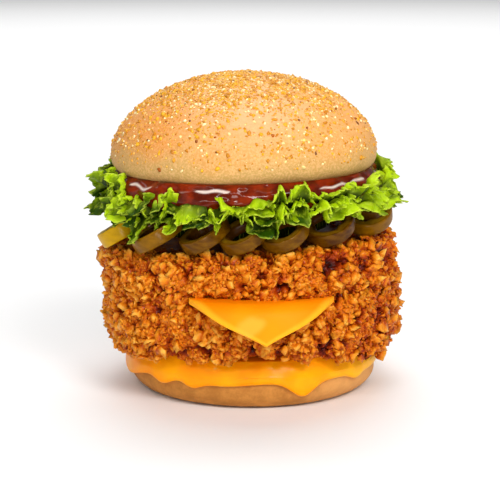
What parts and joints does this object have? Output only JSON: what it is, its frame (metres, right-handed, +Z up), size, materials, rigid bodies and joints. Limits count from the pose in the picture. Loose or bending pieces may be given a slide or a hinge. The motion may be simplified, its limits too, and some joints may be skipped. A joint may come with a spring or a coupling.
{
  "type": "chicken burger",
  "caption": "Tall burger in a round domed bun: crumbed fillets with a hanging cheese corner, pickled pepper rings, frilly lettuce and two sauces.",
  "frame": {"origin": "on the table under the middle of the stack", "axes": "+Z up through the stack, -Y to the front where the cheese corner hangs down, +X to the right seen from the front"},
  "size_m": [0.1228, 0.1291, 0.1221],
  "materials": {
    "heel": "soft matte baked bread, tan",
    "orange_sauce": "glossy orange sauce",
    "cheese": "smooth, slightly glossy yellow cheese",
    "crust": "craggy golden-brown fried crumb with an oily sheen",
    "pepper": "wet olive skin",
    "lettuce": "fresh satin green leaf with paler edges",
    "red_sauce": "wet dark red sauce",
    "crown": "pale golden baked bread with yellow grits"
  },
  "bodies": {
    "root": {"cheese": "cheese", "crown": "crown", "fillet_lower": "crust", "fillet_upper": "crust", "heel": "heel", "lettuce_lower_back": "lettuce", "lettuce_lower_front": "lettuce", "lettuce_lower_left": "lettuce", "lettuce_upper_back": "lettuce", "lettuce_upper_left": "lettuce", "lettuce_upper_right": "lettuce", "orange_sauce": "orange_sauce", "pepper_ring_01": "pepper", "pepper_ring_02": "pepper", "pepper_ring_03": "pepper", "pepper_ring_04": "pepper", "pepper_ring_05": "pepper", "pepper_ring_06": "pepper", "pepper_ring_07": "pepper", "pepper_ring_08": "pepper", "pepper_ring_09": "pepper", "pepper_ring_10": "pepper", "pepper_ring_11": "pepper", "pepper_ring_12": "pepper", "pepper_ring_13": "pepper", "red_sauce": "red_sauce"}
  },
  "joints": []
}
